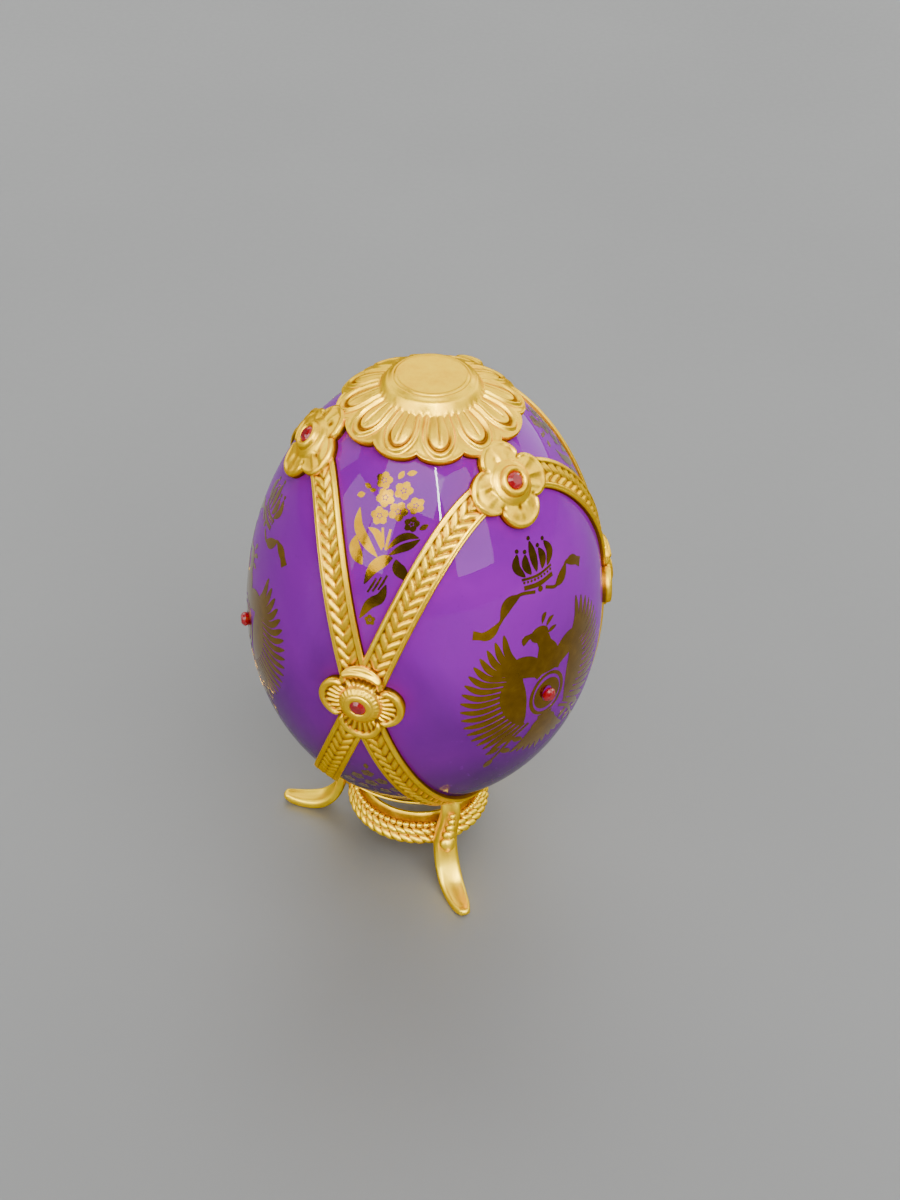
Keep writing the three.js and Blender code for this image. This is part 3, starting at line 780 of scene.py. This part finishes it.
def leg_frame(rows):
    """Centre, outward direction, width and thickness of a leg, as if it stood at azimuth 0."""
    line = spline(LEG_LINE, rows)
    r, z = line[:, 0], line[:, 1]
    tangent = unit_rows(np.gradient(line[:, :2], axis=0))
    outward = np.stack([-tangent[:, 1], tangent[:, 0]], -1)
    return r, z, outward, line[:, 2], line[:, 3]


def turned_to(points, azimuth):
    x, y = points[..., 0], points[..., 1]
    c, s = cos(azimuth), sin(azimuth)
    return np.stack([x * c - y * s, x * s + y * c, points[..., 2]], -1)


def leg_piece(number, azimuth):
    rows, columns = 150, 44
    r, z, outward, width, thickness = leg_frame(rows)
    t = np.linspace(0, 1, rows)
    close = np.sqrt(np.clip(1 - ((t - 0.975) / 0.025).clip(0, 1) ** 2, 0.02, 1))
    crown = np.sqrt(np.clip(1 - ((0.02 - t) / 0.02).clip(0, 1) ** 2, 0.1, 1))
    width, thickness = width * close * crown, thickness * close
    angle = around(columns)
    power = 0.55    # below 1 it squares the section's corners
    side = np.sign(np.sin(angle)) * np.abs(np.sin(angle)) ** power
    out = np.sign(np.cos(angle)) * np.abs(np.cos(angle)) ** power
    side, out = np.broadcast_to(side, (rows, columns)), np.broadcast_to(out, (rows, columns))
    face = smooth(0.2, 0.8, out)
    foot = smooth(0.55, 0.72, t)[:, None] * smooth(1.0, 0.93, t)[:, None]
    edge = bump(np.abs(side), 0.78, 0.2)
    groove = bump(side, 0, 0.42)
    upper = smooth(0.62, 0.5, t)[:, None]
    swell = face * (foot * (0.16 * edge - 0.16 * groove)) + face * upper * (0.08 * edge - 0.1 * groove)
    depth = 0.5 * out * thickness[:, None] + swell
    x = r[:, None] + outward[:, :1] * depth
    height = z[:, None] + outward[:, 1:] * depth
    y = 0.5 * side * width[:, None]
    height = np.maximum(height, 0.0)
    # the groove darkens as patina; the inward face of the upper leg, under the egg, is painted dark as shade
    recess = face * (foot * 0.4 * groove + upper * 0.6 * groove) + 0.3 * smooth(0.0, -0.6, out) * upper
    recess = np.clip(recess + 0.55 * smooth(0.06, 0.0, t)[:, None], 0, 1)
    name, loops = f"leg_{number}", turned_to(np.stack([x, y, height], -1), azimuth)
    shell_piece(f"{name}_cast", STAND_GILT, name, loops, recess, sharp=60)


def ball_loops(size, rows=12, columns=20):
    polar, turn = np.linspace(0.12, math.pi - 0.12, rows)[:, None], around(columns)[None, :]
    flat = np.sin(polar)
    unit = np.stack([flat * np.cos(turn), flat * np.sin(turn), np.cos(polar) * np.ones_like(turn)], -1)
    return unit * np.asarray(size)


def leg_beads(number, azimuth):
    """Row of beads down the outer face of a leg, ending in a drop."""
    r, z, outward, _, thickness = leg_frame(400)
    row = Body()
    proud, deep, across = 0.2, 0.9, np.array([0, 1, 0])
    # Height over the ground and radius, then how tall and how tapered each is.
    beads_down = ((15.0, 0.52, 0.92, 0.0), (13.8, 0.62, 0.92, 0.0), (12.2, 0.8, 0.92, 0.0),
                  (10.1, 1.0, 0.92, 0.0), (7.5, 1.2, 1.2, 0.28))
    for height, size, tall, drop in beads_down:
        i = int(np.argmin(np.abs(z[:300] - height)))
        n = outward[i]
        along, normal = np.array([n[1], 0, -n[0]]), np.array([n[0], 0, n[1]])
        ball = ball_loops((size, size * tall, size * deep))
        taper = 1 - drop * ball[..., 1] / (size * tall)
        centre = np.array([r[i], 0, z[i]]) + normal * (thickness[i] / 2 + proud)
        points = (centre + (ball[..., 0] * taper)[..., None] * across + ball[..., 1:2] * along
                  + ball[..., 2:] * normal)
        polar = np.abs(ball[..., 2]) / (size * deep)
        row.loft(turned_to(points, azimuth), 0.8 * smooth(0.45, 0.05, polar))
    row.make(f"leg_{number}_beads", STAND_GILT)


def solder_piece(number, azimuth):
    """Lumps of solder between the ring's wires and a leg."""
    solder = Body()
    joint_radius = 10.75
    for height, y, size in ((8.6, 0.0, (0.9, 1.3, 0.7)), (7.2, 0.7, (0.75, 0.8, 0.8)),
                            (6.3, -0.7, (0.8, 0.9, 0.75)), (9.4, 0.2, (0.8, 0.8, 0.5))):
        ball = ball_loops(size)
        lumpy = 1 + 0.1 * np.sin(ball[..., :1] * 5 + height) * np.cos(ball[..., 1:2] * 4 - height)
        solder.loft(turned_to(ball * lumpy + np.array([joint_radius, y, height]), azimuth), 0.45)
    solder.make(f"solder_{number}", STAND_GILT)


for sector in range(SECTORS):
    leg_azimuth = LEG_AZIMUTH + sector * SECTOR
    leg_piece(sector + 1, leg_azimuth)
    leg_beads(sector + 1, leg_azimuth)
    solder_piece(sector + 1, leg_azimuth)


# ---- gold prints on the glaze

class Print:
    """Thin gold shapes laid on the glaze about a place; x runs east and y up the meridian, in mm."""

    thickness = 0.03
    sunk = -0.06

    def __init__(self, azimuth, height, stretch=1.0):
        self.azimuth, self.stretch, self.body = azimuth, stretch, Body()
        self.start = np.interp(latitude_of_height(height), MERIDIAN_LATITUDES, MERIDIAN_LENGTHS)

    def lay(self, x, y, lift):
        latitude = np.interp(self.start + y, MERIDIAN_LENGTHS, MERIDIAN_LATITUDES)
        return egg_point(self.azimuth + x * self.stretch / (EGG_RADIUS * np.cos(latitude)), latitude, lift)

    def blade(self, path, half_width, grid=(16, 5), tips=(0.0, 0.0), power=0.75):
        """A leaf, feather or ribbon along a path, widest in between, with the given tip widths."""
        rows, columns = grid
        line = spline(path, rows)
        tangent = unit_rows(np.gradient(line, axis=0))
        normal = np.stack([-tangent[:, 1], tangent[:, 0]], -1)
        t = np.linspace(0, 1, rows)
        swell = np.sin(np.pi * np.clip(t, 0.012, 0.988)) ** power
        size = half_width * np.maximum(swell, tips[0] * (1 - t) + tips[1] * t)
        across = np.linspace(-1, 1, columns)
        x = line[:, :1] + normal[:, :1] * size[:, None] * across
        y = line[:, 1:] + normal[:, 1:] * size[:, None] * across
        top = self.lay(x, y, self.thickness)
        low = self.lay(x[:, ::-1], y[:, ::-1], self.sunk)
        self.body.loft(np.concatenate([top, low], axis=1))

    def leaflet(self, x, y, reach, half_width, grid=(9, 4)):
        """A small straight leaf through a point, from one end to the other at the given reach."""
        dx, dy = reach
        self.blade([(x - dx, y - dy), (x, y), (x + dx, y + dy)], half_width, grid)

    def disc(self, x0, y0, radius, count, squash=1.0, over=1.0):
        """A dot round a point, which may lie over other shapes."""
        angle = around(count)
        rings = radius * np.array([0.35, 0.7, 1.0])[:, None]
        x, y = x0 + rings * np.cos(angle), y0 + rings * np.sin(angle) * squash
        top = self.lay(x, y, self.thickness * over)
        low = self.lay(x[::-1], y[::-1], self.sunk)
        self.body.loft(np.concatenate([top, low], axis=0))

    def hoop(self, width, height, line):
        """An oval line round the place, with the line's half width."""
        angle = around(60)
        rows = []
        for grow, lift in ((-1, self.sunk), (-1, self.thickness), (0, self.thickness),
                           (1, self.thickness), (1, self.sunk)):
            x, y = (width + grow * line) * np.cos(angle), (height + grow * line) * np.sin(angle)
            rows.append(self.lay(x, y, lift))
        self.body.loft(np.array(rows), closed_ends=False)

    def blossom(self, x, y, radius, turn):
        """Five petals, parted by hair lines, round a dot."""
        for k in range(5):
            a = turn + k * TAU / 5
            path = [(x + share * radius * cos(a), y + share * radius * sin(a))
                    for share in (0.24, 0.62, 1.0)]
            self.blade(path, 0.43 * radius, grid=(9, 4), tips=(0.2, 0.45), power=0.6)
        self.disc(x, y, 0.2 * radius, count=10, over=1.4)

    def make(self, name):
        self.body.make(name, PRINT, sharp=60)


def bouquet(azimuth, number):
    """A tied posy: seven blossoms and buds over paired leaves, a crossing leaf and short stems."""
    art = Print(azimuth - 0.036, 21.95)
    for x, y, size, turn in ((-0.85, 10.8, 1.12, 0.3), (-0.1, 8.75, 1.22, 1.0), (1.95, 10.05, 1.2, 0.1),
                             (-0.25, 6.35, 1.18, 0.6), (1.95, 7.35, 1.25, 1.3), (3.95, 8.35, 1.1, 0.8),
                             (4.0, 6.0, 1.0, 0.2)):
        art.blossom(x, y, size, turn)
    for x, y, lean, size in ((2.35, 12.4, 0.3, 0.62), (1.1, 11.95, 1.25, 0.6), (-3.4, 8.15, 0.5, 0.6),
                             (5.6, 5.75, 0.6, 0.6), (-2.75, 9.5, -0.2, 0.55), (-1.95, 9.2, 0.4, 0.45)):
        art.leaflet(x, y, (cos(lean) * size, sin(lean) * size), size * 0.62)
    # Left pair, far left leaf, right pair parted by its vein, crossing leaf, lower right leaf, foot leaf.
    for path, half_width, power in (
        ([(-3.1, 6.6), (-2.75, 4.4), (-1.2, 2.6), (0.6, 1.2)], 0.72, 0.8),
        ([(-1.35, 4.55), (-0.2, 4.2), (0.55, 3.3), (0.95, 2.2)], 0.52, 0.75),
        ([(-2.75, 3.1), (-2.65, 1.7), (-2.0, 0.6), (-1.2, -0.25)], 0.85, 0.75),
        ([(1.55, 2.35), (2.8, 3.9), (4.0, 4.5), (5.3, 4.35)], 0.5, 0.75),
        ([(2.0, 1.75), (3.3, 2.75), (4.4, 3.35), (5.5, 4.2)], 0.55, 0.75),
        ([(2.55, 1.5), (1.6, 1.0), (0.35, -0.3), (-0.5, -2.6)], 0.78, 0.7),
        ([(3.0, 1.35), (3.4, 0.4), (4.1, -0.3), (5.1, -1.2)], 0.8, 0.75),
        ([(2.35, -2.1), (1.9, -3.9), (0.6, -5.1), (-0.45, -7.3)], 0.72, 0.7),
    ):
        art.blade(path, half_width, power=power)
    for x, bottom, shift in ((0.5, 2.6, 0.62), (1.55, 2.3, -0.1)):
        art.blade([(x, 5.0), (x + 0.5 * shift, 3.7), (x + shift, bottom)], 0.2, (8, 3), tips=(0.8, 0.8))
    for x, top in ((0.85, -1.5), (1.5, -1.2), (2.2, -0.85)):
        path = [(x + 0.1, top), (x - 0.3, top - 1.1), (x - 0.75, top - 2.1)]
        art.blade(path, 0.17, (8, 3), tips=(0.8, 0.8))
    art.blossom(0.95, -7.2, 0.75, 0.5)
    art.make(f"bouquet_print_{number}")


def lower_spray(azimuth, number):
    """A small hanging spray between the lower bands."""
    art = Print(azimuth, -13.0)
    for x, y, size, turn in ((0.0, 0.9, 0.95, 0.2), (-1.75, -1.0, 1.0, 0.9), (1.8, -0.9, 0.95, 0.5),
                             (0.1, -2.4, 1.05, 1.2), (-3.4, -3.5, 0.95, 0.1), (3.5, -3.4, 0.95, 0.7),
                             (-1.4, -4.7, 0.9, 0.6), (1.8, -4.8, 0.9, 1.1)):
        art.blossom(x, y, size, turn)
    for x, y, lean in ((-5.3, -5.2, 0.6), (5.4, -5.1, 2.4), (0.2, -6.3, 1.6), (-3.5, -6.2, 0.9),
                       (3.8, -6.2, 2.2), (-6.4, -7.2, 0.4), (6.4, -7.2, 2.7), (0.0, 3.0, 1.57)):
        art.leaflet(x, y, (cos(lean) * 0.7, sin(lean) * 0.7), 0.38)
    art.make(f"spray_print_{number}")


def bird(azimuth, number):
    """A folk bird with spread wings and a fan tail; the stone sits in an oval on its breast."""
    art = Print(azimuth, MEDALLION_HEIGHT, stretch=1.18)
    art.hoop(1.35, 1.9, 0.62)
    art.hoop(2.4, 3.35, 0.26)
    # Breast, neck and head, which looks to the west.
    art.blade([(0, 3.75), (0.1, 5.6), (-0.1, 7.4), (-0.6, 9.6)], 1.6, (20, 7), tips=(0.6, 0.6))
    art.disc(-1.0, 10.3, 1.3, count=24, squash=0.9)
    art.blade([(-2.1, 10.6), (-2.9, 10.5), (-3.3, 9.6)], 0.5, (8, 4), tips=(0.9, 0.0))
    for x, y, dx, dy in ((-0.5, 11.6, 0.8, 1.4), (0.05, 10.95, 1.3, 1.0), (0.2, 9.9, 1.4, 0.4)):
        art.blade([(x, y), (x + dx * 0.5, y + dy * 0.75), (x + dx, y + dy)], 0.32, (8, 3))
    feathers, first_swing, sweep = 17, 66, 122
    roots = spline([(4.4, 6.6), (5.9, 5.2), (6.2, 2.4), (5.0, -0.8), (3.6, -3.6)], feathers)
    for side in (-1, 1):
        # Wing: shoulder, covert and long feathers fanned round its edge.
        shoulder = [(side * x, y) for x, y in ((1.1, 3.7), (2.3, 5.5), (4.1, 6.6), (5.5, 5.8))]
        covert = [(side * x, y) for x, y in ((4.0, 6.2), (4.9, 3.4), (4.5, -0.2), (3.3, -4.0))]
        art.blade(shoulder, 1.6, (22, 7), tips=(0.4, 0.6))
        art.blade(covert, 1.7, (26, 7), tips=(0.4, 0.2))
        for k, (x, y) in enumerate(roots):
            swing = radians(first_swing - sweep * k / (feathers - 1))
            tip = (1.7 + 9.5 * cos(swing), 1.9 + 11.2 * sin(swing))
            middle = (0.5 * (x + tip[0]) + 0.3, 0.5 * (y + tip[1]) - 0.6 * cos(swing))
            path = [(side * (x - 0.5), y), (side * middle[0], middle[1]), (side * tip[0], tip[1])]
            art.blade(path, 0.46, (14, 4), power=0.5, tips=(0.7, 0.0))
    art.blade([(0, -3.6), (0, -5.6), (0, -7.8)], 1.9, (14, 7), tips=(0.6, 0.3))
    for k in range(9):
        f = k / 4 - 1
        path = [(1.3 * f, -5.0), (2.6 * f, -7.8), (4.1 * f, -11.2 + 1.9 * abs(f))]
        art.blade(path, 0.52, (12, 4), power=0.55)
    for side in (-1, 1):
        # A leafy sprig held on each side below the wings.
        art.blade([(side * 2.4, -4.0), (side * 4.6, -6.2), (side * 6.4, -9.6)], 0.26, (12, 3),
                  tips=(0.9, 0.7))
        for x, y, lean in ((3.6, -6.6, -2.5), (5.2, -5.8, -0.3), (4.9, -8.3, -2.4), (6.6, -7.6, -0.4),
                           (6.7, -10.4, -1.3)):
            reach = (side * cos(lean) * 0.95, sin(lean) * 0.95)
            art.leaflet(side * x, y, reach, 0.5, (8, 3))
    art.make(f"bird_print_{number}")


def coronet(azimuth, number):
    """A plain open coronet of leaves and beads, with a ribbon waving out on either side."""
    art = Print(azimuth, MEDALLION_HEIGHT)
    base = 17.3
    art.blade([(-2.5, base + 0.3), (0, base), (2.5, base + 0.3)], 0.36, (14, 4), tips=(0.9, 0.9))
    for k in range(9):
        f = k / 4 - 1
        art.disc(2.3 * f, base + 0.78 + 0.25 * f * f, 0.2, count=10)
    art.blade([(-2.6, base + 1.5), (0, base + 1.2), (2.6, base + 1.5)], 0.2, (12, 3), tips=(0.9, 0.9))
    for lean, size in ((-1, 0.92), (-0.5, 0.8), (0, 1.0), (0.5, 0.8), (1, 0.92)):
        foot, top = 1.95 * lean, 6.0 * size - 0.5 * abs(lean)
        path = [(foot, base + 1.7), (foot * 1.5, base + 0.5 * (1.7 + top)), (foot * 1.2, base + top)]
        art.blade(path, 0.6, (14, 4), power=0.65)
        art.disc(foot * 1.15, base + top + 0.36, 0.3, count=12)
    for path in ([(-0.9, 16.5), (-3.2, 17.0), (-5.2, 16.3), (-6.7, 14.2), (-8.7, 12.7), (-10.7, 13.1)],
                 [(0.9, 16.4), (2.6, 15.7), (4.1, 16.3), (5.5, 17.6), (7.1, 17.1), (8.8, 15.8)]):
        art.blade(path, 0.24, (40, 3), tips=(1.0, 1.0))
        art.blade(path[1:4], 0.78, (20, 5), tips=(0.2, 0.3), power=0.8)
        art.blade(path[3:], 0.7, (20, 5), tips=(0.3, 0.95), power=0.8)
    art.disc(0, 16.55, 0.42, count=14)
    art.make(f"coronet_print_{number}")


for sector, (lower, upper) in enumerate(zip(LOWER_AZIMUTHS, UPPER_AZIMUTHS)):
    bouquet(lower, sector + 1)
    lower_spray(lower, sector + 1)
    bird(upper, sector + 1)
    coronet(upper, sector + 1)


# ---- floor, lights, camera

def floor_piece():
    half = 12.0
    mesh = bpy.data.meshes.new("floor")
    corners = [(-half, -half, 0), (half, -half, 0), (half, half, 0), (-half, half, 0)]
    mesh.from_pydata(corners, [], [(0, 1, 2, 3)])
    mesh.materials.append(floor_material())
    piece = bpy.data.objects.new("floor", mesh)
    bpy.context.scene.collection.objects.link(piece)


LAMP_DISTANCE = 2.4     # metres


def softbox(name, azimuth, elevation, width, height, radiance, lights_up=False):
    """Rectangular lamp in a direction from the egg; its sizes are metres for each metre of distance.

    Most are seen only in gloss and metal, and the daylight does the rest."""
    azimuth, elevation = radians(azimuth), radians(elevation)
    away = Vector((cos(azimuth) * cos(elevation), sin(azimuth) * cos(elevation),
                   sin(elevation)))
    light = bpy.data.lights.new(name, "AREA")
    light.shape = "RECTANGLE"
    light.size, light.size_y = width * LAMP_DISTANCE, height * LAMP_DISTANCE
    light.energy = radiance * math.pi * light.size * light.size_y
    lamp = bpy.data.objects.new(name, light)
    lamp.location = away * LAMP_DISTANCE + Vector((0, 0, WAIST * MM))
    lamp.rotation_euler = away.to_track_quat("Z", "Y").to_euler()
    lamp.visible_camera = False
    lamp.visible_diffuse = lights_up
    bpy.context.scene.collection.objects.link(lamp)


def softboxes():
    softbox("window_left", -152, 21, 0.5, 0.66, 4.5)
    softbox("window_front_left", -126, 28, 0.3, 0.62, 6.5)
    softbox("skylight_front", -112, 55, 0.83, 0.47, 6.5)
    softbox("strip_front", -77, 45, 0.024, 0.94, 150.0)
    softbox("window_right", -54, 36, 0.5, 0.89, 5.5)
    softbox("window_far_right", 46, 12, 0.6, 0.4, 3.5)
    softbox("side_right", 5, 37, 0.85, 0.7, 2.4)
    softbox("side_left", 150, 26, 0.85, 0.6, 2.2)
    softbox("window_back", 85, 42, 1.3, 0.85, 2.0, lights_up=True)
    softbox("ceiling", 90, 86, 1.0, 0.85, 1.1)


def daylight():
    sun = bpy.data.lights.new("daylight", "SUN")
    sun.energy, sun.angle = 2.4, radians(60)
    lamp = bpy.data.objects.new("daylight", sun)
    sun_azimuth, sun_elevation = radians(-62), radians(56)
    lamp.rotation_euler = (0, math.pi / 2 - sun_elevation, sun_azimuth)
    lamp.visible_glossy = False
    bpy.context.scene.collection.objects.link(lamp)


def studio_air():
    grey, strength = 0.62, 0.4
    world = bpy.data.worlds.new("studio_air")
    world.use_nodes = True
    air = world.node_tree.nodes["Background"]
    air.inputs["Color"].default_value = (grey, grey, grey, 1)
    air.inputs["Strength"].default_value = strength
    bpy.context.scene.world = world


def photographer():
    """Camera at the photograph's viewing angle, a little rolled."""
    elevation, roll, distance = radians(39.698), radians(2.507), 256.355 * MM
    target = Vector((3.574, 0, 44.835)) * MM
    back = Vector((0, -cos(elevation), sin(elevation)))
    right, up = Vector((1, 0, 0)), Vector((0, sin(elevation), cos(elevation)))
    x_axis = right * cos(roll) + up * sin(roll)
    y_axis = up * cos(roll) - right * sin(roll)
    data = bpy.data.cameras.new("camera")
    data.sensor_width, data.lens = 36, 54.41
    data.clip_start = 0.01
    camera = bpy.data.objects.new("camera", data)
    turn = Matrix((x_axis, y_axis, back)).transposed()
    camera.matrix_world = Matrix.Translation(target + back * distance) @ turn.to_4x4()
    bpy.context.scene.collection.objects.link(camera)
    bpy.context.scene.camera = camera


floor_piece()
softboxes()
daylight()
studio_air()
photographer()
